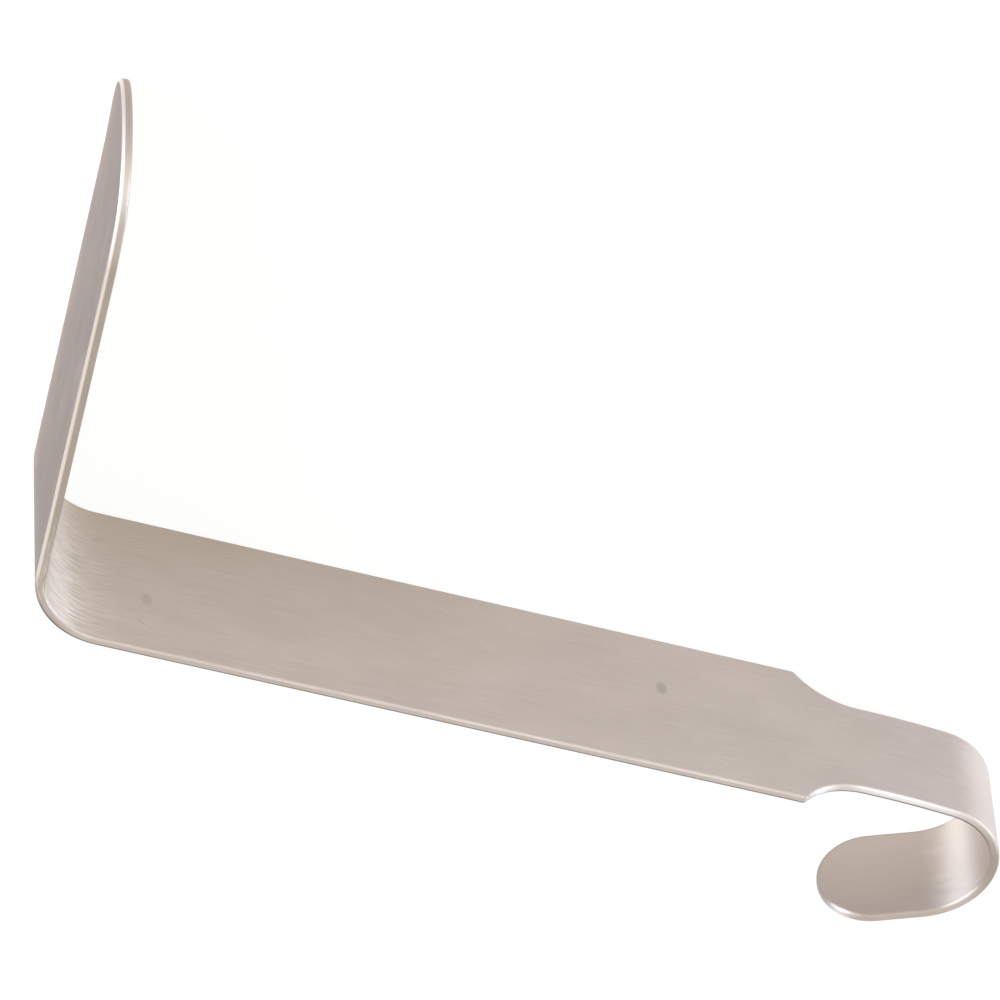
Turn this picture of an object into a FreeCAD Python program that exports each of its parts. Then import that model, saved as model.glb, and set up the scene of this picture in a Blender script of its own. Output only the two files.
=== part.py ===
import FreeCAD, Part
import Sketcher
import math
import os

os.makedirs("parts", exist_ok=True)
doc = FreeCAD.newDocument("retractor")

# Sizes in millimetres and degrees
SIZES = [
    ("strip_width", 32.0, "width of the blade and of the handle"),
    ("sheet_thickness", 1.8, "thickness of the steel strip"),
    ("blade_angle", 98.6, "angle between blade and handle"),
    ("blade_reach", 106.1, "virtual corner to the end of the blade"),
    ("blade_end_radius", 22.0, "curve across the end of the blade"),
    ("blade_corner_radius", 12.0, "two corners at the end of the blade"),
    ("lip_length", 26.0, "end of the blade that curves slightly outwards"),
    ("lip_radius", 385.0, "mid-line radius of that slight curve"),
    ("bend_radius", 14.35, "mid-line radius of the bend between blade and handle"),
    ("shoulder_reach", 145.1, "virtual corner to the shoulders of the handle"),
    ("shoulder_radius", 15.3, "hollow behind each shoulder"),
    ("neck_width", 20.4, "width of the neck and of the hook"),
    ("neck_straight", 0.6, "flat neck between the hollows and the hook"),
    ("lead_radius", 189.0, "mid-line radius of the slight curve into the hook"),
    ("lead_angle", 5.2, "turn of the slight curve"),
    ("hook_radius", 13.7, "mid-line radius of the hook"),
    ("hook_angle", 150.1, "turn of the hook"),
    ("return_straight", 8.3, "straight end of the hook before its round tip"),
    ("edge_radius", 0.55, "rounding of the strip's edges"),
]
SIZE = {name: value for name, value, note in SIZES}

sheet = doc.addObject("Spreadsheet::Sheet", "Sizes")
for row, (name, value, note) in enumerate(SIZES, start=1):
    sheet.set("A%d" % row, name)
    sheet.set("B%d" % row, str(value))
    sheet.set("C%d" % row, note)
    sheet.setAlias("B%d" % row, name)
doc.recompute()

# Lengths that follow from the sizes, as expressions
BEND_RUN = "(Sizes.bend_radius * tan(90deg - Sizes.blade_angle * 0.5deg))"
HOLLOW_DROP = "(Sizes.shoulder_radius + (Sizes.neck_width - Sizes.strip_width) / 2)"
HOLLOW_RUN = "sqrt(Sizes.shoulder_radius ^ 2 - %s ^ 2)" % HOLLOW_DROP
HOLLOW_END = "(Sizes.shoulder_reach + %s)" % HOLLOW_RUN
HOOK_START = "(%s + Sizes.neck_straight)" % HOLLOW_END
SHOULDER_CORNER = "1.5 * Sizes.edge_radius"
HOOK_STEP = "(Sizes.lead_radius - Sizes.hook_radius)"
HOOK_TURN = "((Sizes.lead_angle + Sizes.hook_angle) * 1deg)"
LEAD_TURN = "(Sizes.lead_angle * 1deg)"
LIP_TURN = "((Sizes.lip_length + Sizes.sheet_thickness) / Sizes.lip_radius * 1rad)"
FLAT_BLADE = "Sizes.blade_reach - Sizes.lip_length - " + BEND_RUN
HALF_SHEET = "Sizes.sheet_thickness / 2"

# The same lengths as numbers, for the first position of every sketch
half_width = SIZE["strip_width"] / 2
half_neck = SIZE["neck_width"] / 2
half_sheet = SIZE["sheet_thickness"] / 2
bend_turn = math.radians(180 - SIZE["blade_angle"])
bend_run = SIZE["bend_radius"] * math.tan(bend_turn / 2)
flat_blade = SIZE["blade_reach"] - SIZE["lip_length"] - bend_run
lip_turn = (SIZE["lip_length"] + SIZE["sheet_thickness"]) / SIZE["lip_radius"]
hollow_drop = SIZE["shoulder_radius"] + half_neck - half_width
hollow_run = math.sqrt(SIZE["shoulder_radius"] ** 2 - hollow_drop ** 2)
hollow_end = SIZE["shoulder_reach"] + hollow_run
hook_start = hollow_end + SIZE["neck_straight"]
shoulder_corner = 1.5 * SIZE["edge_radius"]
hook_step = SIZE["lead_radius"] - SIZE["hook_radius"]
lead_turn = math.radians(SIZE["lead_angle"])
hook_turn = math.radians(SIZE["lead_angle"] + SIZE["hook_angle"])
quarter = math.pi / 2

body = doc.addObject("PartDesign::Body", "retractor")
body.Label = "retractor"


def point(x, y):
    """A point of a sketch."""
    return FreeCAD.Vector(x, y, 0)


def line(start, end):
    """A straight piece of an outline."""
    return Part.LineSegment(start, end)


def arc(centre, radius, start, end):
    """A piece of a circle, counter-clockwise between two angles in radians."""
    circle = Part.Circle(centre, FreeCAD.Vector(0, 0, 1), radius)
    return Part.ArcOfCircle(circle, start, end)


def new_sketch(name, role):
    """An empty sketch on the body's own origin plane with this role."""
    planes = [item for item in body.Origin.OriginFeatures if item.Role == role]
    sketch = body.newObject("Sketcher::SketchObject", name)
    sketch.AttachmentSupport = [(planes[0], "")]
    sketch.MapMode = "FlatFace"
    return sketch


def join(sketch, *pairs):
    """Let the ends of neighbouring pieces meet."""
    for first, first_end, second, second_end in pairs:
        sketch.addConstraint(
            Sketcher.Constraint("Coincident", first, first_end, second, second_end))


def join_smoothly(sketch, *pairs):
    """Let the ends of neighbouring pieces meet in one direction."""
    for first, first_end, second, second_end in pairs:
        sketch.addConstraint(
            Sketcher.Constraint("Tangent", first, first_end, second, second_end))


def tie(sketch, name, expression, value, kind, *where):
    """Add a measured constraint and tie its size to an expression."""
    index = sketch.addConstraint(Sketcher.Constraint(kind, *where, value))
    sketch.renameConstraint(index, name)
    sketch.setExpression("Constraints." + name, expression)


def pad(name, sketch, length):
    """Material to both sides of a sketch."""
    feature = body.newObject("PartDesign::Pad", name)
    feature.Profile = sketch
    feature.SideType = "Symmetric"
    feature.setExpression("Length", length)
    sketch.Visibility = False
    doc.recompute()
    return feature


# Flat handle with its shoulders and neck, seen along its thickness
plate = new_sketch("HandleOutline", "XZ_Plane")
corner_drop = hollow_drop + shoulder_corner
corner_run = math.sqrt(
    (SIZE["shoulder_radius"] + shoulder_corner) ** 2 - corner_drop ** 2)
side_end = hollow_end - corner_run
corner_turn = math.atan2(corner_drop, corner_run)
hollow_height = half_neck + SIZE["shoulder_radius"]
corner_line = half_width - shoulder_corner
plate.addGeometry([
    line(point(bend_run, -half_width), point(side_end, -half_width)),
    arc(point(side_end, -corner_line), shoulder_corner, -quarter, -corner_turn),
    arc(point(hollow_end, -hollow_height), SIZE["shoulder_radius"],
        quarter, math.pi - corner_turn),
    line(point(hollow_end, -half_neck), point(hook_start, -half_neck)),
    line(point(hook_start, -half_neck), point(hook_start, half_neck)),
    line(point(hook_start, half_neck), point(hollow_end, half_neck)),
    arc(point(hollow_end, hollow_height), SIZE["shoulder_radius"],
        math.pi + corner_turn, 3 * quarter),
    arc(point(side_end, corner_line), shoulder_corner, corner_turn, quarter),
    line(point(side_end, half_width), point(bend_run, half_width)),
    line(point(bend_run, half_width), point(bend_run, -half_width)),
], False)
join(plate, (3, 2, 4, 1), (4, 2, 5, 1), (8, 2, 9, 1), (9, 2, 0, 1))
join_smoothly(plate, (0, 2, 1, 1), (1, 2, 2, 2), (2, 1, 3, 1))
join_smoothly(plate, (5, 2, 6, 2), (6, 1, 7, 1), (7, 2, 8, 1))
for side in (0, 3, 5, 8):
    plate.addConstraint(Sketcher.Constraint("Horizontal", side))
plate.addConstraint(Sketcher.Constraint("Symmetric", 0, 1, 8, 2, -1))
plate.addConstraint(Sketcher.Constraint("Symmetric", 3, 2, 5, 1, -1))
tie(plate, "width", "Sizes.strip_width", SIZE["strip_width"], "DistanceY", 0, 1, 8, 2)
tie(plate, "neck", "Sizes.neck_width", SIZE["neck_width"], "DistanceY", 3, 2, 5, 1)
tie(plate, "bend_end", BEND_RUN, bend_run, "DistanceX", -1, 1, 0, 1)
tie(plate, "hook_start", HOOK_START, hook_start, "DistanceX", -1, 1, 3, 2)
for side, corner, hollow in (("low", 1, 2), ("high", 7, 6)):
    tie(plate, side + "_corner", SHOULDER_CORNER, shoulder_corner, "Radius", corner)
    tie(plate, side + "_hollow", "Sizes.shoulder_radius", SIZE["shoulder_radius"],
        "Radius", hollow)
    tie(plate, side + "_hollow_end", HOLLOW_END, hollow_end,
        "DistanceX", -1, 1, hollow, 3)
pad("Handle", plate, "Sizes.sheet_thickness")

# Bend and blade with its slight outward lip, seen along the bend's axis
blade = new_sketch("BladeOutline", "XY_Plane")
bend_centre = point(bend_run, SIZE["bend_radius"])
side_turn = math.radians(SIZE["blade_angle"])
upward = FreeCAD.Vector(math.cos(side_turn), math.sin(side_turn), 0)
inward = FreeCAD.Vector(math.sin(side_turn), -math.cos(side_turn), 0)
lip_start = upward * (SIZE["blade_reach"] - SIZE["lip_length"])
lip_centre = lip_start - inward * SIZE["lip_radius"]
outer_bend = arc(bend_centre, SIZE["bend_radius"] + half_sheet,
                 3 * quarter - bend_turn, 3 * quarter)
inner_bend = arc(bend_centre, SIZE["bend_radius"] - half_sheet,
                 3 * quarter - bend_turn, 3 * quarter)
inner_lip = arc(lip_centre, SIZE["lip_radius"] + half_sheet,
                side_turn - quarter, side_turn - quarter + lip_turn)
outer_lip = arc(lip_centre, SIZE["lip_radius"] - half_sheet,
                side_turn - quarter, side_turn - quarter + lip_turn)
blade.addGeometry([
    outer_bend,
    line(outer_bend.EndPoint, inner_bend.EndPoint),
    inner_bend,
    line(inner_bend.StartPoint, inner_lip.StartPoint),
    inner_lip,
    line(inner_lip.EndPoint, outer_lip.EndPoint),
    outer_lip,
    line(outer_lip.StartPoint, outer_bend.StartPoint),
], False)
join_smoothly(blade, (2, 1, 3, 1), (3, 2, 4, 1), (6, 1, 7, 1), (7, 2, 0, 1))
join(blade, (0, 2, 1, 1), (1, 2, 2, 2), (4, 2, 5, 1), (5, 2, 6, 2), (0, 3, 2, 3))
blade.addConstraint(Sketcher.Constraint("Vertical", 0, 3, 0, 2))
blade.addConstraint(Sketcher.Constraint("Vertical", 2, 3, 2, 2))
tie(blade, "along", BEND_RUN, bend_run, "DistanceX", -1, 1, 0, 3)
tie(blade, "above", "Sizes.bend_radius", SIZE["bend_radius"], "DistanceY", -1, 1, 0, 3)
tie(blade, "outer_bend", "Sizes.bend_radius + " + HALF_SHEET,
    SIZE["bend_radius"] + half_sheet, "Radius", 0)
tie(blade, "inner_bend", "Sizes.bend_radius - " + HALF_SHEET,
    SIZE["bend_radius"] - half_sheet, "Radius", 2)
tie(blade, "inner_lip", "Sizes.lip_radius + " + HALF_SHEET,
    SIZE["lip_radius"] + half_sheet, "Radius", 4)
tie(blade, "outer_lip", "Sizes.lip_radius - " + HALF_SHEET,
    SIZE["lip_radius"] - half_sheet, "Radius", 6)
for side, bend, flat, lip in (("outer", 0, 7, 6), ("inner", 2, 3, 4)):
    tie(blade, side + "_turn", "180deg - Sizes.blade_angle * 1deg", bend_turn,
        "Angle", bend)
    tie(blade, side + "_lip_turn", LIP_TURN, lip_turn, "Angle", lip)
    tie(blade, side + "_flat", FLAT_BLADE, flat_blade, "Distance", flat)
pad("Blade", blade, "Sizes.strip_width")

# Curve across the blade's end, cut square to the flat of the blade
blade_end = new_sketch("BladeEndOutline", "XZ_Plane")
blade_end.AttachmentOffset = FreeCAD.Placement(
    point(0, 0), FreeCAD.Rotation(FreeCAD.Vector(0, 1, 0), SIZE["blade_angle"]))
blade_end.setExpression("AttachmentOffset.Rotation.Angle", "Sizes.blade_angle * 1deg")
end_centre = SIZE["blade_reach"] - SIZE["blade_end_radius"]
outside = 0.6 * SIZE["strip_width"]
outside_turn = math.asin(outside / SIZE["blade_end_radius"])
outside_reach = end_centre + SIZE["blade_end_radius"] * math.cos(outside_turn)
beyond = SIZE["blade_reach"] + SIZE["sheet_thickness"] * 5
blade_end.addGeometry([
    arc(point(end_centre, 0), SIZE["blade_end_radius"], -outside_turn, outside_turn),
    line(point(outside_reach, outside), point(beyond, outside)),
    line(point(beyond, outside), point(beyond, -outside)),
    line(point(beyond, -outside), point(outside_reach, -outside)),
], False)
blade_end.addGeometry(Part.Point(point(SIZE["blade_reach"], 0)), True)
join(blade_end, (0, 2, 1, 1), (1, 2, 2, 1), (2, 2, 3, 1), (3, 2, 0, 1))
blade_end.addConstraint(Sketcher.Constraint("Horizontal", 1))
blade_end.addConstraint(Sketcher.Constraint("Horizontal", 3))
blade_end.addConstraint(Sketcher.Constraint("Symmetric", 2, 1, 2, 2, -1))
blade_end.addConstraint(Sketcher.Constraint("PointOnObject", 0, 3, -1))
blade_end.addConstraint(Sketcher.Constraint("PointOnObject", 4, 1, -1))
blade_end.addConstraint(Sketcher.Constraint("PointOnObject", 4, 1, 0))
tie(blade_end, "reach", "Sizes.blade_reach", SIZE["blade_reach"],
    "DistanceX", -1, 1, 4, 1)
tie(blade_end, "curve", "Sizes.blade_end_radius", SIZE["blade_end_radius"], "Radius", 0)
tie(blade_end, "outside", "1.2 * Sizes.strip_width", 2 * outside,
    "DistanceY", 2, 2, 2, 1)
tie(blade_end, "beyond", "Sizes.blade_reach + 5 * Sizes.sheet_thickness", beyond,
    "DistanceX", -1, 1, 2, 1)
end_cut = body.newObject("PartDesign::Pocket", "BladeEnd")
end_cut.Profile = blade_end
end_cut.SideType = "Symmetric"
end_cut.setExpression("Length", "10 * Sizes.sheet_thickness")
blade_end.Visibility = False
doc.recompute()


def face_direction(face, place):
    """Outward direction of a face at a place on it."""
    return face.normalAt(*face.Surface.parameter(place))


def turning_edges(shape, least, most):
    """Names of the edges whose two faces turn by an angle in this range, in degrees."""
    names = []
    for number, edge in enumerate(shape.Edges, start=1):
        middle = edge.valueAt((edge.FirstParameter + edge.LastParameter) / 2)
        faces = shape.ancestorsOfType(edge, Part.Face)
        directions = [face_direction(face, middle) for face in faces]
        turn = math.degrees(directions[0].getAngle(directions[1]))
        if least < turn < most:
            names.append("Edge%d" % number)
    return names


# Rounded corners at the blade's end
cut_strip = body.Tip
corners = body.newObject("PartDesign::Fillet", "BladeCorners")
corners.Base = (cut_strip, turning_edges(cut_strip.Shape, 20, 70))
corners.setExpression("Radius", "Sizes.blade_corner_radius")
body.Tip = corners
doc.recompute()

# Hook with the slight curve that leads into it, seen along its axis
hook = new_sketch("HookOutline", "XY_Plane")
lead_centre = point(hook_start, -SIZE["lead_radius"])
hook_centre = point(hook_start + hook_step * math.sin(lead_turn),
                    hook_step * math.cos(lead_turn) - SIZE["lead_radius"])
inner_lead = arc(lead_centre, SIZE["lead_radius"] - half_sheet, quarter - lead_turn, quarter)
inner_hook = arc(hook_centre, SIZE["hook_radius"] - half_sheet,
                 quarter - hook_turn, quarter - lead_turn)
outer_hook = arc(hook_centre, SIZE["hook_radius"] + half_sheet,
                 quarter - hook_turn, quarter - lead_turn)
outer_lead = arc(lead_centre, SIZE["lead_radius"] + half_sheet, quarter - lead_turn, quarter)
hook.addGeometry([
    inner_lead,
    inner_hook,
    line(inner_hook.StartPoint, outer_hook.StartPoint),
    outer_hook,
    outer_lead,
    line(outer_lead.EndPoint, inner_lead.EndPoint),
], False)
join_smoothly(hook, (0, 1, 1, 2), (3, 2, 4, 1))
join(hook, (1, 1, 2, 1), (2, 2, 3, 1), (4, 2, 5, 1), (5, 2, 0, 2), (0, 3, 4, 3))
hook.addConstraint(Sketcher.Constraint("Vertical", 0, 3, 0, 2))
hook.addConstraint(Sketcher.Constraint("Vertical", 4, 3, 4, 2))
tie(hook, "along", HOOK_START, hook_start, "DistanceX", -1, 1, 0, 3)
tie(hook, "below", "Sizes.lead_radius", SIZE["lead_radius"], "DistanceY", 0, 3, -1, 1)
tie(hook, "inner_lead", "Sizes.lead_radius - " + HALF_SHEET,
    SIZE["lead_radius"] - half_sheet, "Radius", 0)
tie(hook, "inner_hook", "Sizes.hook_radius - " + HALF_SHEET,
    SIZE["hook_radius"] - half_sheet, "Radius", 1)
tie(hook, "outer_hook", "Sizes.hook_radius + " + HALF_SHEET,
    SIZE["hook_radius"] + half_sheet, "Radius", 3)
tie(hook, "outer_lead", "Sizes.lead_radius + " + HALF_SHEET,
    SIZE["lead_radius"] + half_sheet, "Radius", 4)
tie(hook, "inner_lead_turn", LEAD_TURN, lead_turn, "Angle", 0)
tie(hook, "outer_lead_turn", LEAD_TURN, lead_turn, "Angle", 4)
tie(hook, "inner_turn", "Sizes.hook_angle * 1deg", hook_turn - lead_turn, "Angle", 1)
tie(hook, "outer_turn", "Sizes.hook_angle * 1deg", hook_turn - lead_turn, "Angle", 3)
pad("Hook", hook, "Sizes.neck_width")

# Straight end of the hook with its round tip, seen along its thickness
tip = new_sketch("ReturnOutline", "XZ_Plane")
tip_x = hook_centre.x + SIZE["hook_radius"] * math.sin(hook_turn)
tip_y = hook_centre.y + SIZE["hook_radius"] * math.cos(hook_turn)
tip.AttachmentOffset = FreeCAD.Placement(
    FreeCAD.Vector(tip_x, 0, -tip_y),
    FreeCAD.Rotation(FreeCAD.Vector(0, -1, 0), math.degrees(hook_turn)))
tip.setExpression("AttachmentOffset.Rotation.Angle", HOOK_TURN)
tip.setExpression(
    "AttachmentOffset.Base.x",
    "%s + %s * sin(%s) + Sizes.hook_radius * sin(%s)"
    % (HOOK_START, HOOK_STEP, LEAD_TURN, HOOK_TURN))
tip.setExpression(
    "AttachmentOffset.Base.z",
    "Sizes.lead_radius - %s * cos(%s) - Sizes.hook_radius * cos(%s)"
    % (HOOK_STEP, LEAD_TURN, HOOK_TURN))
tip.addGeometry([
    line(point(0, -half_neck), point(SIZE["return_straight"], -half_neck)),
    arc(point(SIZE["return_straight"], 0), half_neck, -quarter, quarter),
    line(point(SIZE["return_straight"], half_neck), point(0, half_neck)),
    line(point(0, half_neck), point(0, -half_neck)),
], False)
join_smoothly(tip, (0, 2, 1, 1), (1, 2, 2, 1))
join(tip, (2, 2, 3, 1), (3, 2, 0, 1))
tip.addConstraint(Sketcher.Constraint("Horizontal", 0))
tip.addConstraint(Sketcher.Constraint("Horizontal", 2))
tip.addConstraint(Sketcher.Constraint("Symmetric", 0, 1, 2, 2, -1))
tip.addConstraint(Sketcher.Constraint("PointOnObject", 0, 1, -2))
tie(tip, "width", "Sizes.neck_width", SIZE["neck_width"], "DistanceY", 0, 1, 2, 2)
tie(tip, "straight", "Sizes.return_straight", SIZE["return_straight"],
    "DistanceX", -1, 1, 1, 3)
pad("Return", tip, "Sizes.sheet_thickness")


# Edges broken all round the strip
strip = body.Tip
rim = body.newObject("PartDesign::Fillet", "Rim")
rim.Base = (strip, turning_edges(strip.Shape, 80, 100))
rim.setExpression("Radius", "min(Sizes.edge_radius; 0.45 * Sizes.sheet_thickness)")
body.Tip = rim
doc.recompute()

# Origin under the middle of the part, which lies on its long edge
box = body.Shape.optimalBoundingBox(False, False)
body.Placement.Base = FreeCAD.Vector(-box.Center.x, -box.Center.y, -box.ZMin)
doc.recompute()

for item in doc.Objects:
    if {"Invalid", "Error"} & set(item.State):
        raise RuntimeError("bad feature " + item.Name)
    if hasattr(item, "Shape") and item.isDerivedFrom("PartDesign::Feature"):
        if item.Shape.isNull() or not item.Shape.isValid():
            raise RuntimeError("bad shape " + item.Name)
if len(body.Shape.Solids) != 1:
    raise RuntimeError("the retractor is one solid")

body.Shape.exportStep("parts/" + body.Label + ".step")
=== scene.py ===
import math

import bmesh
import bpy
from mathutils import Matrix, Vector


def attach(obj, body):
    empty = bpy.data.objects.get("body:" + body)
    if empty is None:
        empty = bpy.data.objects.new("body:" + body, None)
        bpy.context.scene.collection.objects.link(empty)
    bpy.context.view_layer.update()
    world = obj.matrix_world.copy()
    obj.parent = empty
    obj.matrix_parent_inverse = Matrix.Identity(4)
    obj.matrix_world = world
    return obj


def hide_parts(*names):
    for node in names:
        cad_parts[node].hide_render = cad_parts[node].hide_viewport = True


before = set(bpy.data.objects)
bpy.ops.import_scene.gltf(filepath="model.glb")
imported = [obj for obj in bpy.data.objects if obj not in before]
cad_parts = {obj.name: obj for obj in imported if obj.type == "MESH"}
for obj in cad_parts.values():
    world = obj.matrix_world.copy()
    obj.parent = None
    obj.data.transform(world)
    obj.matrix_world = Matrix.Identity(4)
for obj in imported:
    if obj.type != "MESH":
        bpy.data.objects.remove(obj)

bl_info = {
    "name": "Handheld retractor",
    "version": (1, 0, 0),
    "blender": (4, 5, 0),
    "location": "View3D > Sidebar > Retractor",
    "description": "Builds a bent-strip surgical retractor and its studio",
    "category": "Add Mesh",
}

NODE = "retractor"
UV_NAME = "strip"

# Where the lower broad face and the rim lie in the map, metres
LOWER_MAP = 0.1
RIM_MAP = 0.2

# Zones along the mid-line: start, end and half the soft border, metres from the blade's end
BEND_HAIRLINES = (0.094, 0.113, 0.005)
HOOK_HAIRLINES = (0.272, 0.292, 0.008)
HANDLE = (0.1, 0.3, 0.008)
HOOK_RETURN = (0.298, 0.4, 0.008)

# Zones along the rim's outline, metres from the middle of the blade's end
RIM_TIP = (-1.0, 0.028, 0.004)
# Corner of the blade's rim, painted with a highlight
BLADE_CORNER = (-1.0, 0.105, 0.002)
# Corner of the rim along handle and neck, painted with shade
HANDLE_CORNER = (0.111, 0.2965, 0.005)
# Polished rim of the neck and hook, whose top is painted with a highlight
POLISHED_RIM_HIGHLIGHT = (0.266, 0.291, 0.009)

# Zones across the strip and round the rim, metres
RETURN_ACROSS = (0.08, LOWER_MAP, 0.008)
RIM_TOP = (RIM_MAP + 0.0002, RIM_MAP + 0.00145, 0.0002)
RIM_LOWER_CORNER = (RIM_MAP + 0.0016, RIM_MAP + 0.0030, 0.00015)
WHOLE_RIM = (RIM_MAP - 0.01, RIM_MAP + 0.01, 0.001)

# The handle's shade: where it fades along and across the strip, metres
SHADE_ALONG = (0.135, 0.215)
SHADE_ACROSS = (-0.016, 0.010)

# Painted highlight hairlines along the brush lines: places of both edges, share there, share on
# the hook, contrast
HAIRLINE_EDGES = (-0.016, 0.016)
HAIRLINE_SHARES = (0.15, 0.75)
HOOK_HAIRLINE_SHARE = 0.08
HAIRLINE_CONTRAST = (0.45, 0.65)

# Smudges and the scratch: along, across, turn, half length, half width and strength
MARKS = (
    (0.1231, 0.0035, 0.0, 0.0015, 0.0021, 0.26),
    (0.2203, -0.0036, 0.0, 0.0014, 0.0020, 0.42),
    (0.1219, 0.0094, 0.67, 0.0013, 0.00016, 0.48),
)

MARK_CORE = 0.35         # share of a mark's half size that is at full strength

# Brush patterns: cycles per metre along and across the strip, and detail
FINE_BRUSH = (110, 3600, 3.0)
HAIR_BRUSH = (170, 5200, 2.0)
LINE_BRUSH = (70, 2400, 4.0)
CLOUD_BRUSH = (45, 90, 4.0)
TONE_CONTRAST = (0.7, 1.3)
LINE_CONTRAST = (0.3, 0.7)
ROUGHNESS_SPREAD = 0.06
RELIEF_STRENGTH = 0.6
ACROSS_GRAIN = 0.25      # a quarter turn, so that highlights widen across the lines

# Steps of the mesh: lengths in metres, angles in degrees
FLAT_STEP = 0.002
SIDE_STEP = 0.004
CURVE_STEP = 0.0004
BLADE_END_STEP = 1.5
BLADE_CORNER_STEP = 3
SHOULDER_CORNER_STEP = 8
HOLLOW_STEP = 2
ROUND_END_STEP = 4
EDGE_STEPS = 6
SHOULDER_CORNER_SHARE = 1.5   # radius of the shoulder's corner, in edge radii

# Camera of the photograph
CAMERA_PLACE = (-0.38061, 0.85938, 0.98396)
CAMERA_RIGHT = (0.93663, 0.34666, 0.05041)
CAMERA_BACKWARD = (-0.27442, 0.63663, 0.72069)
CAMERA_LENS = 277.94
CAMERA_SENSOR = 36.0

# Floor: half its side, and the turn of the line that parts its mirrored tints
FLOOR_SIZE = 6.0
FLOOR_TURN = -0.15
MIRRORED_RIGHT_PLACE = 0.08

# Soft lights: place, width, height and the setting with their power
LAMPS = {
    "high_right": ((0.5, 0.56, 1.18), 0.5, 0.5, "high_power"),
    "low_right": ((1.15, 0.18, 0.22), 1.2, 0.4, "low_power"),
    "left": ((-1.25, 0.13, 0.5), 1.3, 0.6, "left_power"),
}


def srgb(code):
    """Linear colour of a hex code."""
    values = [int(code[i:i + 2], 16) / 255 for i in (1, 3, 5)]
    return [v / 12.92 if v <= 0.04045 else ((v + 0.055) / 1.055) ** 2.4 for v in values]


# Settings that a user may change

class StripSettings(bpy.types.PropertyGroup):
    """Sizes of the bent steel strip."""

    width: bpy.props.FloatProperty(
        name="Strip width", description="Width of the blade and the handle",
        default=0.032, min=0.022, unit="LENGTH")
    thickness: bpy.props.FloatProperty(
        name="Thickness", description="Thickness of the sheet",
        default=0.0018, min=0.0012, unit="LENGTH")
    edge_radius: bpy.props.FloatProperty(
        name="Edge radius", description="Rounding of the strip's edges",
        default=0.00055, min=0.0001, unit="LENGTH")
    blade_angle: bpy.props.FloatProperty(
        name="Blade angle", description="Angle between blade and handle",
        default=math.radians(98.6), subtype="ANGLE")
    blade_reach: bpy.props.FloatProperty(
        name="Blade reach", description="Virtual corner to the end of the blade",
        default=0.1061, unit="LENGTH")
    blade_end_radius: bpy.props.FloatProperty(
        name="Blade end radius", description="Curve across the blade's end",
        default=0.022, unit="LENGTH")
    blade_corner_radius: bpy.props.FloatProperty(
        name="Blade corner radius", description="Corners at the end of the blade",
        default=0.012, unit="LENGTH")
    lip_length: bpy.props.FloatProperty(
        name="Lip length", description="End of the blade that curves outwards",
        default=0.026, unit="LENGTH")
    lip_radius: bpy.props.FloatProperty(
        name="Lip radius", description="Mid-line radius of the blade's lip",
        default=0.385, unit="LENGTH")
    bend_radius: bpy.props.FloatProperty(
        name="Bend radius", description="Mid-line radius between blade and handle",
        default=0.01435, unit="LENGTH")
    shoulder_reach: bpy.props.FloatProperty(
        name="Shoulder reach", description="Virtual corner to the shoulders",
        default=0.1451, unit="LENGTH")
    shoulder_radius: bpy.props.FloatProperty(
        name="Shoulder radius", description="Hollow behind each shoulder",
        default=0.0153, unit="LENGTH")
    neck_width: bpy.props.FloatProperty(
        name="Neck width", description="Width of the neck and the hook",
        default=0.0204, unit="LENGTH")
    neck_straight: bpy.props.FloatProperty(
        name="Neck straight", description="Flat neck before the hook",
        default=0.0006, unit="LENGTH")
    lead_radius: bpy.props.FloatProperty(
        name="Lead radius", description="Mid-line radius of the curve into the hook",
        default=0.189, unit="LENGTH")
    lead_angle: bpy.props.FloatProperty(
        name="Lead angle", description="Turn of the curve into the hook",
        default=math.radians(5.2), subtype="ANGLE")
    hook_radius: bpy.props.FloatProperty(
        name="Hook radius", description="Mid-line radius of the hook",
        default=0.0137, unit="LENGTH")
    hook_angle: bpy.props.FloatProperty(
        name="Hook angle", description="Turn of the hook",
        default=math.radians(150.1), subtype="ANGLE")
    return_straight: bpy.props.FloatProperty(
        name="Return straight", description="Straight end before the round tip",
        default=0.0083, unit="LENGTH")


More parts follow.
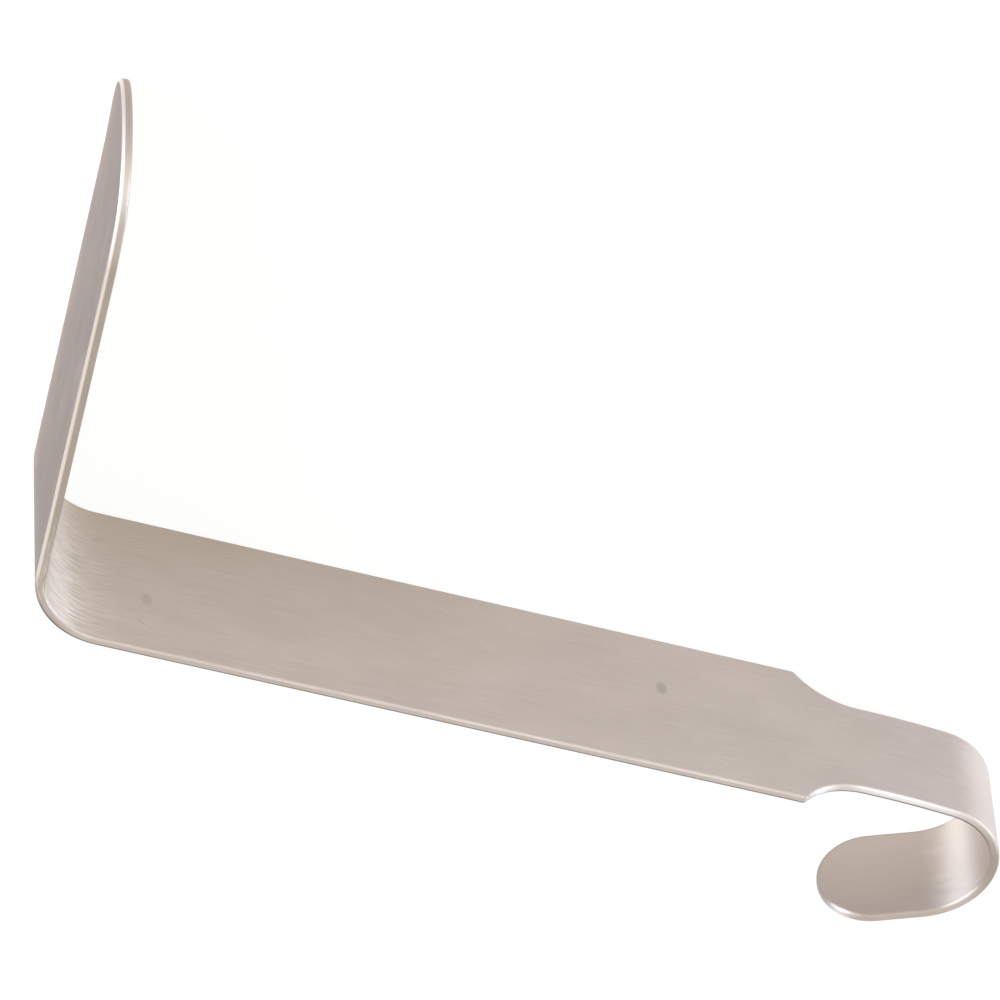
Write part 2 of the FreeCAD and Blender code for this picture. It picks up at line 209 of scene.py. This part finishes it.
class SteelSettings(bpy.types.PropertyGroup):
    """Look of the satin steel."""

    light_tone: bpy.props.FloatVectorProperty(
        name="Light tone", description="Steel between the brush lines",
        default=srgb("#C4BAB2"), subtype="COLOR", size=3, min=0, max=1)
    dark_tone: bpy.props.FloatVectorProperty(
        name="Dark tone", description="Steel in the brush lines",
        default=srgb("#B9AFA7"), subtype="COLOR", size=3, min=0, max=1)
    roughness: bpy.props.FloatProperty(
        name="Roughness", description="Mean roughness of the brushed surface",
        default=0.52, min=0, max=1, subtype="FACTOR")
    # Painted highlight: a lighter colour on the neck's polished rim stands in for its white
    # band of reflected light
    rim_highlight_tone: bpy.props.FloatVectorProperty(
        name="Polished rim", description="Colour of the neck's polished rim",
        default=srgb("#E2DEDB"), subtype="COLOR", size=3, min=0, max=1)
    # Painted shade: a dark colour along the rim's corner of handle and neck stands in for the
    # shaded floor it mirrors
    rim_corner_shade_tone: bpy.props.FloatVectorProperty(
        name="Rim corner", description="Colour of the dark rim corner along handle and neck",
        default=srgb("#746B65"), subtype="COLOR", size=3, min=0, max=1)
    # Painted highlight: a near-white colour along the blade's back corner stands in for its
    # line of reflected light
    blade_corner_highlight_tone: bpy.props.FloatVectorProperty(
        name="Blade corner", description="Colour of the polished corner along the blade's back",
        default=srgb("#FFF6EF"), subtype="COLOR", size=3, min=0, max=1)
    mark_tone: bpy.props.FloatVectorProperty(
        name="Marks", description="Colour of the two round smudges and the short scratch",
        default=srgb("#8F8780"), subtype="COLOR", size=3, min=0, max=1)
    drawn_out: bpy.props.FloatProperty(
        name="Anisotropy", description="How far highlights are drawn out across the lines",
        default=0.82, min=0, max=1, subtype="FACTOR")
    line_turn: bpy.props.FloatProperty(
        name="Line turn", description="How far the brush lines stray, in whole turns",
        default=0.03, min=0, max=0.25)
    # Painted highlight: bright hairlines along the brush lines, only in the two bends where
    # light glints
    hairline_highlight_tone: bpy.props.FloatVectorProperty(
        name="Hairlines", description="Colour of the bright hairlines in the two bends",
        default=srgb("#F4EEE8"), subtype="COLOR", size=3, min=0, max=1)
    shade_tone: bpy.props.FloatVectorProperty(
        name="Handle shade", description="Colour of the handle's edge away from the camera",
        default=srgb("#B4A99E"), subtype="COLOR", size=3, min=0, max=1)
    # Painted light: a lighter colour on the hook's inner end lifts the dim reflection there
    return_painted_light_tone: bpy.props.FloatVectorProperty(
        name="Return", description="Colour of the hook's inner end, away from the camera",
        default=srgb("#D4C7BA"), subtype="COLOR", size=3, min=0, max=1)
    line_depth: bpy.props.FloatProperty(
        name="Line depth", description="Depth of the brush lines",
        default=0.000004, min=0, precision=7, unit="LENGTH")


class StageSettings(bpy.types.PropertyGroup):
    """Floor, lights and surroundings."""

    floor_tone: bpy.props.FloatVectorProperty(
        name="Floor", description="Colour of the floor",
        default=srgb("#F7F7F6"), subtype="COLOR", size=3, min=0, max=1)
    backdrop_tone: bpy.props.FloatVectorProperty(
        name="Backdrop", description="Colour of the floor as the camera sees it",
        default=srgb("#FFFFFD"), subtype="COLOR", size=3, min=0, max=1)
    backdrop_share: bpy.props.FloatProperty(
        name="Backdrop share", description="How much of the floor's tone is unshaded",
        default=0.86, min=0, max=1, subtype="FACTOR")
    # Painted reflection: tints of the floor that only the steel mirrors, darker outside the
    # blade
    mirrored_left: bpy.props.FloatVectorProperty(
        name="Mirrored on the left", description="Floor that the handle's left end mirrors",
        default=srgb("#EDE5DB"), subtype="COLOR", size=3, min=0, max=1)
    mirrored_right: bpy.props.FloatVectorProperty(
        name="Mirrored on the right", description="Floor that the hook's end mirrors",
        default=srgb("#FCFAFF"), subtype="COLOR", size=3, min=0, max=1)
    mirrored_outside: bpy.props.FloatVectorProperty(
        name="Mirrored outside", description="Floor that the blade's back mirrors",
        default=srgb("#A6A1AD"), subtype="COLOR", size=3, min=0, max=1)
    blade_line: bpy.props.FloatProperty(
        name="Blade line", description="Where the floor outside the blade begins",
        default=-0.095, unit="LENGTH")
    sky_tone: bpy.props.FloatVectorProperty(
        name="Surroundings", description="Colour of the studio's light tent",
        default=srgb("#FFFAF3"), subtype="COLOR", size=3, min=0, max=1)
    sky_behind: bpy.props.FloatProperty(
        name="Surroundings behind", description="Strength of the light tent behind the object",
        default=0.85, min=0)
    sky_front: bpy.props.FloatProperty(
        name="Surroundings in front", description="Strength of the light tent at the camera",
        default=1.35, min=0)
    lamp_tone: bpy.props.FloatVectorProperty(
        name="Lamps", description="Colour of the soft lights",
        default=srgb("#DEEBFF"), subtype="COLOR", size=3, min=0, max=1)
    high_power: bpy.props.FloatProperty(
        name="High light", description="Power of the high soft light on the right",
        default=4.5, min=0, unit="POWER")
    low_power: bpy.props.FloatProperty(
        name="Low light", description="Power of the low soft light on the right",
        default=8.0, min=0, unit="POWER")
    left_power: bpy.props.FloatProperty(
        name="Left light", description="Power of the soft light on the left",
        default=23.5, min=0, unit="POWER")


# Shape of the strip

def strip_lengths(size):
    """Lengths that follow from the sizes."""
    turn = math.pi - size.blade_angle
    bend_run = size.bend_radius * math.tan(turn / 2)
    hollow_drop = size.shoulder_radius + (size.neck_width - size.width) / 2
    corner = SHOULDER_CORNER_SHARE * size.edge_radius
    hollow_run = math.sqrt(size.shoulder_radius ** 2 - hollow_drop ** 2)
    hollow_end = size.shoulder_reach + hollow_run
    corner_run = math.sqrt((size.shoulder_radius + corner) ** 2 - (hollow_drop + corner) ** 2)
    bend_start = size.blade_reach - bend_run
    handle_start = bend_start + size.bend_radius * turn
    return {
        "turn": turn,
        "bend_run": bend_run,
        "corner": corner,
        "corner_turn": math.atan2(hollow_drop + corner, corner_run),
        "bend_start": bend_start,
        "handle_start": handle_start,
        "side_end": handle_start + hollow_end - corner_run - bend_run,
        "hollow_end": handle_start + hollow_end - bend_run,
        "hook_start": handle_start + hollow_end + size.neck_straight - bend_run,
    }


def strip_path(size, known):
    """Straight and curved runs of the mid-line: length and turn of each."""
    return [
        (size.lip_length, -size.lip_length / size.lip_radius),
        (known["bend_start"] - size.lip_length, 0.0),
        (size.bend_radius * known["turn"], known["turn"]),
        (known["hook_start"] - known["handle_start"], 0.0),
        (size.lead_radius * size.lead_angle, -size.lead_angle),
        (size.hook_radius * size.hook_angle, -size.hook_angle),
        (size.return_straight + size.neck_width / 2, 0.0),
    ]


def follow(size, runs, distance):
    """Place and heading on the mid-line at a distance from the blade's end."""
    heading = size.blade_angle + size.lip_length / size.lip_radius - math.pi
    place = Vector((0.0, 0.0))
    for length, turn in runs:
        part = min(distance, length)
        if turn:
            radius = length / turn
            after = heading + part / radius
            place.x += radius * (math.sin(after) - math.sin(heading))
            place.y += radius * (math.cos(heading) - math.cos(after))
            heading = after
        else:
            place.x += part * math.cos(heading)
            place.y += part * math.sin(heading)
        distance -= part
        if distance <= 1e-12:
            break
    return place, heading


def spread(start, end, step):
    """Even values from start to end, about one step apart."""
    count = max(1, round(abs(end - start) / step))
    return [start + (end - start) * i / count for i in range(count + 1)]


def half_outline(size, known):
    """Points and inward directions of the flat outline's one side."""
    half = size.width / 2
    neck = size.neck_width / 2
    end = size.blade_end_radius
    small = size.blade_corner_radius
    corner = known["corner"]
    rise = half - small
    reach = math.sqrt((end - small) ** 2 - rise ** 2)
    end_turn = math.atan2(rise, reach)
    points = []
    for angle in spread(0, end_turn, math.radians(BLADE_END_STEP)):
        points.append((end - end * math.cos(angle), end * math.sin(angle),
                       math.cos(angle), -math.sin(angle)))
    for angle in spread(end_turn, math.pi / 2, math.radians(BLADE_CORNER_STEP))[1:]:
        points.append((end - reach - small * math.cos(angle), rise + small * math.sin(angle),
                       math.cos(angle), -math.sin(angle)))
    marks = [end - reach, known["bend_start"], known["handle_start"], known["side_end"]]
    for start, stop, step in zip(marks, marks[1:], (FLAT_STEP, CURVE_STEP, SIDE_STEP)):
        for place in spread(start, stop, step)[1:]:
            points.append((place, half, 0.0, -1.0))
    step = math.radians(SHOULDER_CORNER_STEP)
    for angle in spread(math.pi / 2, known["corner_turn"], step)[1:]:
        points.append((known["side_end"] + corner * math.cos(angle),
                       half - corner + corner * math.sin(angle),
                       -math.cos(angle), -math.sin(angle)))
    hollow = size.shoulder_radius
    step = math.radians(HOLLOW_STEP)
    for angle in spread(math.pi + known["corner_turn"], 1.5 * math.pi, step)[1:]:
        points.append((known["hollow_end"] + hollow * math.cos(angle),
                       neck + hollow + hollow * math.sin(angle),
                       math.cos(angle), math.sin(angle)))
    hook_end = known["hook_start"] + size.lead_radius * size.lead_angle
    hook_end += size.hook_radius * size.hook_angle
    marks = [known["hollow_end"], known["hook_start"], hook_end,
             hook_end + size.return_straight]
    for start, stop, step in zip(marks, marks[1:], (FLAT_STEP, CURVE_STEP, FLAT_STEP)):
        for place in spread(start, stop, step)[1:]:
            points.append((place, neck, 0.0, -1.0))
    for angle in spread(math.pi / 2, 0, math.radians(ROUND_END_STEP))[1:]:
        points.append((marks[-1] + neck * math.cos(angle), neck * math.sin(angle),
                       -math.cos(angle), -math.sin(angle)))
    return points


def edge_profile(size):
    """Inset, height, outward share, upward share and girth across the strip's edge."""
    radius = size.edge_radius
    flat = size.thickness / 2 - radius
    rows = []
    for i in range(EDGE_STEPS + 1):
        angle = math.pi / 2 * (1 - i / EDGE_STEPS)
        rows.append((radius * (1 - math.cos(angle)), flat + radius * math.sin(angle),
                     math.cos(angle), math.sin(angle), radius * (math.pi / 2 - angle)))
    girth = rows[-1][4] + 2 * flat
    for i in range(EDGE_STEPS + 1):
        angle = math.pi / 2 * i / EDGE_STEPS
        rows.append((radius * (1 - math.cos(angle)), -flat - radius * math.sin(angle),
                     math.cos(angle), -math.sin(angle), girth + radius * angle))
    return rows


def build_strip(size):
    """The bent strip as one mesh with rounded edges and exact normals."""
    known = strip_lengths(size)
    runs = strip_path(size, known)
    outline = half_outline(size, known)
    profile = edge_profile(size)
    grid = bmesh.new()
    uv = grid.loops.layers.uv.new(UV_NAME)
    normals = []
    flat_places = []
    lengths = [0.0]
    for near, far in zip(outline, outline[1:]):
        lengths.append(lengths[-1] + math.hypot(far[0] - near[0], far[1] - near[1]))

    def place_vertex(number, row, side):
        """One vertex of the strip's edge."""
        point = outline[number]
        inset, height, out, up, girth = row
        along = point[0] + inset * point[2]
        across = side * (point[1] + inset * point[3])
        middle, heading = follow(size, runs, along)
        forward = Vector((math.cos(heading), math.sin(heading), 0.0))
        upward = Vector((-math.sin(heading), math.cos(heading), 0.0))
        sideways = Vector((0.0, 0.0, 1.0))
        vertex = grid.verts.new(middle.to_3d() + upward * height + sideways * across)
        outward = -(forward * point[2] + sideways * (side * point[3]))
        normals.append((outward * out + upward * up).normalized())
        flat_places.append((along, lengths[number], girth))
        return vertex

    sides = {}
    for side in (1, -1):
        rings = []
        for number in range(len(outline)):
            shared = side < 0 and number in (0, len(outline) - 1)
            if shared:
                rings.append(sides[1][number])
            else:
                rings.append([place_vertex(number, row, side) for row in profile])
        sides[side] = rings
    grid.verts.index_update()

    def add_face(corners, place):
        """One face, with its place on the unrolled strip or rim as its map."""
        face = grid.faces.new(list(dict.fromkeys(corners)))
        for loop in face.loops:
            loop[uv].uv = place(loop.vert)

    def broad_place(vertex, shift):
        """Along and across the strip."""
        return flat_places[vertex.index][0], vertex.co.z + shift

    def rim_place(vertex, side):
        """Along the outline and round the rim."""
        length, girth = flat_places[vertex.index][1:]
        return length, side * (RIM_MAP + girth)

    for side in (1, -1):
        rings = sides[side]
        for near, far in zip(rings, rings[1:]):
            for row in range(len(profile) - 1):
                corners = [near[row], near[row + 1], far[row + 1], far[row]]
                add_face(corners if side > 0 else corners[::-1],
                         lambda vertex: rim_place(vertex, side))
    for number in range(len(outline) - 1):
        for row, shift in ((0, 0.0), (-1, LOWER_MAP)):
            corners = [sides[1][number][row], sides[1][number + 1][row],
                       sides[-1][number + 1][row], sides[-1][number][row]]
            add_face(corners[::-1] if shift else corners,
                     lambda vertex: broad_place(vertex, shift))

    lowest = Vector([min(v.co[i] for v in grid.verts) for i in range(3)])
    highest = Vector([max(v.co[i] for v in grid.verts) for i in range(3)])
    middle = (lowest + highest) / 2
    bmesh.ops.translate(grid, verts=grid.verts, vec=(-middle.x, -middle.y, -lowest.z))
    mesh = bpy.data.meshes.new("bent_strip")
    grid.to_mesh(mesh)
    grid.free()
    mesh.normals_split_custom_set_from_vertices(normals)
    return mesh


# Materials

def add_node(tree, kind, **values):
    """A node with its named inputs set, or linked where a socket is given."""
    node = tree.nodes.new(kind)
    for name, value in values.items():
        socket = node.inputs[name.replace("_", " ")]
        if isinstance(value, bpy.types.NodeSocket):
            tree.links.new(value, socket)
        else:
            socket.default_value = value
    return node


def add_mix(tree, factor, first, second):
    """A colour between two, by a factor socket."""
    mix = tree.nodes.new("ShaderNodeMix")
    mix.data_type = "RGBA"
    sockets = [socket for socket in mix.inputs if socket.type == "RGBA"]
    tree.links.new(factor, mix.inputs["Factor"])
    for socket, value in zip(sockets, (first, second)):
        if isinstance(value, bpy.types.NodeSocket):
            tree.links.new(value, socket)
        else:
            socket.default_value = (*value, 1)
    return next(socket for socket in mix.outputs if socket.type == "RGBA")


def add_ramp(tree, value, stops):
    """A colour that follows a value through stops of value and colour."""
    low = stops[0][0]
    high = stops[-1][0]
    ramp = add_node(tree, "ShaderNodeValToRGB", Fac=remap(tree, value, (low, high)))
    elements = ramp.color_ramp.elements
    while len(elements) < len(stops):
        elements.new(1.0)
    for element, (position, colour) in zip(elements, stops):
        element.position = (position - low) / (high - low)
        element.color = (*colour, 1)
    return ramp.outputs["Color"]


def brush_noise(tree, place, brush):
    """Noise drawn out along the strip."""
    along, across, detail = brush
    stretched = add_node(tree, "ShaderNodeMapping", Vector=place, Scale=(along, across, 1))
    return add_node(tree, "ShaderNodeTexNoise", Vector=stretched.outputs["Vector"],
                    Scale=1.0, Detail=detail, Roughness=0.6).outputs["Fac"]


def combine(tree, operation, first, second):
    """Two values combined by a Math node."""
    result = add_node(tree, "ShaderNodeMath", Value=first)
    result.operation = operation
    if isinstance(second, bpy.types.NodeSocket):
        tree.links.new(second, result.inputs[1])
    else:
        result.inputs[1].default_value = second
    return result.outputs["Value"]


def remap(tree, value, ends, result=(0.0, 1.0)):
    """A value moved from one range to another, and held at its ends."""
    node = add_node(tree, "ShaderNodeMapRange", Value=value, From_Min=ends[0],
                    From_Max=ends[1], To_Min=result[0], To_Max=result[1])
    return node.outputs["Result"]


def between(tree, value, zone):
    """1 where a value lies in a zone, with soft borders."""
    start, end, soft = zone
    rise = remap(tree, value, (start - soft, start + soft))
    fall = remap(tree, value, (end - soft, end + soft), (1.0, 0.0))
    return combine(tree, "MULTIPLY", rise, fall)


def rim_shares(tree, along, across):
    """Where the polished rim gets a painted highlight, its lower corner a painted highlight on
    the blade or painted shade on the handle and neck, and where it rounds the tip.
    """
    girth = combine(tree, "ABSOLUTE", across, 0.0)
    top = between(tree, girth, RIM_TOP)
    corner = between(tree, girth, RIM_LOWER_CORNER)
    whole = between(tree, girth, WHOLE_RIM)
    return (
        combine(tree, "MULTIPLY", top, between(tree, along, POLISHED_RIM_HIGHLIGHT)),
        combine(tree, "MULTIPLY", corner, between(tree, along, BLADE_CORNER)),
        combine(tree, "MULTIPLY", corner, between(tree, along, HANDLE_CORNER)),
        combine(tree, "MULTIPLY", whole, between(tree, along, RIM_TIP)),
    )


def hairline_highlight_share(tree, along, across, hair):
    """Where painted highlight hairlines lie along the brush lines: in the inner bend and on the
    hook's outer side.
    """
    bend = between(tree, along, BEND_HAIRLINES)
    near = remap(tree, across, HAIRLINE_EDGES, HAIRLINE_SHARES)
    hook = between(tree, along, HOOK_HAIRLINES)
    zone = combine(tree, "MAXIMUM", combine(tree, "MULTIPLY", bend, near),
                   combine(tree, "MULTIPLY", hook, HOOK_HAIRLINE_SHARE))
    sharp = remap(tree, hair, HAIRLINE_CONTRAST)
    return combine(tree, "MULTIPLY", zone, sharp)


def shade_share(tree, along, across):
    """Where the handle is darker: towards its edge away from the camera, near the blade."""
    length_share = remap(tree, along, SHADE_ALONG, (1.0, 0.0))
    width_share = remap(tree, across, SHADE_ACROSS, (1.0, 0.0))
    both = combine(tree, "MULTIPLY", length_share, width_share)
    return combine(tree, "MULTIPLY", both, between(tree, along, HANDLE))


def return_painted_light_share(tree, along, across):
    """Where painted light makes the hook's inner end lighter: towards its edge away from the
    camera.
    """
    return combine(tree, "MULTIPLY", between(tree, along, HOOK_RETURN),
                   between(tree, across, RETURN_ACROSS))


def mark_share(tree, place, mark):
    """How strongly a smudge or a scratch covers a place on the strip."""
    along, across, turn, half_length, half_width, strength = mark
    local = add_node(tree, "ShaderNodeMapping", Vector=place, Location=(along, across, 0),
                     Rotation=(0, 0, turn), Scale=(half_length, half_width, 1))
    local.vector_type = "TEXTURE"
    away = add_node(tree, "ShaderNodeVectorMath", Vector=local.outputs["Vector"])
    away.operation = "LENGTH"
    fade = add_node(tree, "ShaderNodeMapRange", Value=away.outputs["Value"],
                    From_Min=MARK_CORE, From_Max=1.0, To_Min=strength, To_Max=0.0)
    fade.interpolation_type = "SMOOTHSTEP"
    return fade.outputs["Result"]


def steel_tone(tree, look, place, fine):
    """The steel's colour, and the share of its rim that rounds the blade's end."""
    axes = add_node(tree, "ShaderNodeSeparateXYZ", Vector=place)
    along = axes.outputs["X"]
    across = axes.outputs["Y"]
    cloud = brush_noise(tree, place, CLOUD_BRUSH)
    hair = brush_noise(tree, place, HAIR_BRUSH)
    polished, bright, dark, tip = rim_shares(tree, along, across)
    streak = combine(tree, "ADD", cloud, fine)
    shade = remap(tree, streak, TONE_CONTRAST)
    tone = add_mix(tree, shade, look.dark_tone, look.light_tone)
    layers = [
        (shade_share(tree, along, across), look.shade_tone),
        # Painted light on the hook's inner end
        (return_painted_light_share(tree, along, across), look.return_painted_light_tone),
        # Painted highlight hairlines in the inner bend and on the hook's outer side
        (hairline_highlight_share(tree, along, across, hair), look.hairline_highlight_tone),
        # Painted highlight on the polished rim of the neck and hook
        (polished, look.rim_highlight_tone),
        # Painted highlight along the blade's rim corner
        (bright, look.blade_corner_highlight_tone),
        # Painted shade along the rim's corner of handle and neck
        (dark, look.rim_corner_shade_tone),
    ]
    layers += [(mark_share(tree, place, mark), look.mark_tone) for mark in MARKS]
    for share, colour in layers:
        tone = add_mix(tree, share, tone, colour)
    return tone, tip


def satin_steel(look):
    """Stainless steel brushed along the strip to a satin finish."""
    material = bpy.data.materials.new("satin_brushed_stainless_steel")
    material.use_nodes = True
    tree = material.node_tree
    shader = tree.nodes["Principled BSDF"]
    coords = add_node(tree, "ShaderNodeUVMap")
    coords.uv_map = UV_NAME
    place = coords.outputs["UV"]
    fine = brush_noise(tree, place, FINE_BRUSH)
    lines = brush_noise(tree, place, LINE_BRUSH)
    tone, tip = steel_tone(tree, look, place, fine)

    rough = remap(tree, lines, LINE_CONTRAST,
                  (look.roughness - ROUGHNESS_SPREAD, look.roughness + ROUGHNESS_SPREAD))
    turn = remap(tree, lines, LINE_CONTRAST,
                 (ACROSS_GRAIN - look.line_turn, ACROSS_GRAIN + look.line_turn))
    drawn = remap(tree, tip, (0.0, 1.0), (look.drawn_out, 0.0))
    relief = add_node(tree, "ShaderNodeBump", Strength=RELIEF_STRENGTH,
                      Distance=look.line_depth, Height=fine)
    grain = tree.nodes.new("ShaderNodeTangent")
    grain.direction_type = "UV_MAP"
    grain.uv_map = UV_NAME

    shader.inputs["Metallic"].default_value = 1.0
    tree.links.new(tone, shader.inputs["Base Color"])
    tree.links.new(rough, shader.inputs["Roughness"])
    tree.links.new(drawn, shader.inputs["Anisotropic"])
    tree.links.new(turn, shader.inputs["Anisotropic Rotation"])
    tree.links.new(grain.outputs["Tangent"], shader.inputs["Tangent"])
    tree.links.new(relief.outputs["Normal"], shader.inputs["Normal"])
    return material


def floor_material(stage):
    """Pale matt paper, plain to the camera, with painted reflection tints by place that only
    the steel's mirrored rays see.
    """
    material = bpy.data.materials.new("pale_matt_paper")
    material.use_nodes = True
    tree = material.node_tree
    shader = tree.nodes["Principled BSDF"]
    shader.inputs["Base Color"].default_value = (*stage.floor_tone, 1)
    shader.inputs["Roughness"].default_value = 0.9
    shader.inputs["Specular IOR Level"].default_value = 0.0

    coords = tree.nodes.new("ShaderNodeTexCoord")
    turned = add_node(tree, "ShaderNodeMapping", Vector=coords.outputs["Object"],
                      Rotation=(0, 0, FLOOR_TURN))
    axes = add_node(tree, "ShaderNodeSeparateXYZ", Vector=turned.outputs["Vector"])
    # Painted reflection: the tint that the steel mirrors changes along the floor, darker
    # outside the blade
    tone = add_ramp(tree, axes.outputs["X"], (
        (stage.blade_line - 0.004, stage.mirrored_outside),
        (stage.blade_line + 0.003, stage.mirrored_left),
        (MIRRORED_RIGHT_PLACE, stage.mirrored_right)))
    ray = tree.nodes.new("ShaderNodeLightPath")
    seen = add_mix(tree, ray.outputs["Is Camera Ray"], tone, stage.backdrop_tone)
    glow = add_node(tree, "ShaderNodeEmission", Color=seen, Strength=1.0)
    direct = combine(tree, "MAXIMUM", ray.outputs["Is Camera Ray"],
                     ray.outputs["Is Glossy Ray"])
    direct = combine(tree, "MAXIMUM", direct, ray.outputs["Is Transmission Ray"])
    share = remap(tree, direct, (0.0, 1.0), (0.0, stage.backdrop_share))
    both = tree.nodes.new("ShaderNodeMixShader")
    tree.links.new(share, both.inputs[0])
    tree.links.new(shader.outputs["BSDF"], both.inputs[1])
    tree.links.new(glow.outputs["Emission"], both.inputs[2])
    output = tree.nodes["Material Output"]
    tree.links.new(both.outputs["Shader"], output.inputs["Surface"])
    return material


# Stage

def point_camera(scene):
    """The photograph's camera: place, turn and lens."""
    data = bpy.data.cameras.new("camera")
    data.sensor_width = CAMERA_SENSOR
    data.lens = CAMERA_LENS
    data.clip_end = 20.0
    camera = bpy.data.objects.new("camera", data)
    right = Vector(CAMERA_RIGHT)
    backward = Vector(CAMERA_BACKWARD).normalized()
    upward = backward.cross(right).normalized()
    right = upward.cross(backward)
    turn = Matrix((right, upward, backward)).transposed()
    camera.matrix_world = Matrix.Translation(CAMERA_PLACE) @ turn.to_4x4()
    scene.collection.objects.link(camera)
    scene.camera = camera


def soft_light(scene, name, place, width, height, tone, power):
    """A large soft light that faces the object."""
    data = bpy.data.lights.new(name, "AREA")
    data.shape = "RECTANGLE"
    data.size = width
    data.size_y = height
    data.color = tone
    data.energy = power
    light = bpy.data.objects.new(name, data)
    facing = (-Vector(place)).to_track_quat("-Z", "Y")
    light.matrix_world = Matrix.Translation(place) @ facing.to_matrix().to_4x4()
    scene.collection.objects.link(light)


def build_floor(scene, stage):
    """A wide floor under the object."""
    mesh = bpy.data.meshes.new("floor")
    grid = bmesh.new()
    bmesh.ops.create_grid(grid, x_segments=1, y_segments=1, size=FLOOR_SIZE)
    grid.to_mesh(mesh)
    grid.free()
    floor = bpy.data.objects.new("floor", mesh)
    floor.data.materials.append(floor_material(stage))
    scene.collection.objects.link(floor)


def light_tent(scene, stage):
    """Light from all round, stronger from the camera's side than from behind."""
    world = bpy.data.worlds.new("light_tent")
    world.use_nodes = True
    tree = world.node_tree
    coords = tree.nodes.new("ShaderNodeTexCoord")
    axes = add_node(tree, "ShaderNodeSeparateXYZ", Vector=coords.outputs["Generated"])
    strength = remap(tree, axes.outputs["Y"], (-0.8, 0.8),
                     (stage.sky_behind, stage.sky_front))
    back = tree.nodes["Background"]
    back.inputs["Color"].default_value = (*stage.sky_tone, 1)
    tree.links.new(strength, back.inputs["Strength"])
    scene.world = world


# Operators and panel

class RETRACTOR_OT_strip(bpy.types.Operator):
    """Build the bent steel strip"""

    bl_idname = "retractor.strip"
    bl_label = "Build strip"

    def execute(self, context):
        mesh = build_strip(context.scene.retractor_strip)
        mesh.materials.append(satin_steel(context.scene.retractor_steel))
        strip = bpy.data.objects.new("bent_strip", mesh)
        context.scene.collection.objects.link(strip)
        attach(strip, "root")
        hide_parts(NODE)
        return {"FINISHED"}


class RETRACTOR_OT_stage(bpy.types.Operator):
    """Build the floor, the lights and the camera"""

    bl_idname = "retractor.stage"
    bl_label = "Build stage"

    def execute(self, context):
        scene = context.scene
        stage = scene.retractor_stage
        scene.view_settings.view_transform = "Standard"
        build_floor(scene, stage)
        light_tent(scene, stage)
        for name, (place, width, height, power) in LAMPS.items():
            soft_light(scene, name, place, width, height, stage.lamp_tone,
                       getattr(stage, power))
        point_camera(scene)
        return {"FINISHED"}


class RETRACTOR_PT_panel(bpy.types.Panel):
    """Sizes and looks of the retractor"""

    bl_label = "Retractor"
    bl_idname = "RETRACTOR_PT_panel"
    bl_space_type = "VIEW_3D"
    bl_region_type = "UI"
    bl_category = "Retractor"

    def draw(self, context):
        layout = self.layout
        for name in ("retractor_strip", "retractor_steel", "retractor_stage"):
            settings = getattr(context.scene, name)
            box = layout.box()
            for key in settings.__annotations__:
                box.prop(settings, key)
        layout.operator("retractor.strip")
        layout.operator("retractor.stage")


CLASSES = (
    StripSettings,
    SteelSettings,
    StageSettings,
    RETRACTOR_OT_strip,
    RETRACTOR_OT_stage,
    RETRACTOR_PT_panel,
)


def register():
    """Add the settings, operators and panel."""
    for item in CLASSES:
        bpy.utils.register_class(item)
    bpy.types.Scene.retractor_strip = bpy.props.PointerProperty(type=StripSettings)
    bpy.types.Scene.retractor_steel = bpy.props.PointerProperty(type=SteelSettings)
    bpy.types.Scene.retractor_stage = bpy.props.PointerProperty(type=StageSettings)


def unregister():
    """Remove the settings, operators and panel."""
    del bpy.types.Scene.retractor_strip
    del bpy.types.Scene.retractor_steel
    del bpy.types.Scene.retractor_stage
    for item in reversed(CLASSES):
        bpy.utils.unregister_class(item)


def main():
    """Build everything in order."""
    register()
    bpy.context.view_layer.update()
    bpy.ops.retractor.strip()
    bpy.ops.retractor.stage()


if __name__ == "__main__":
    main()
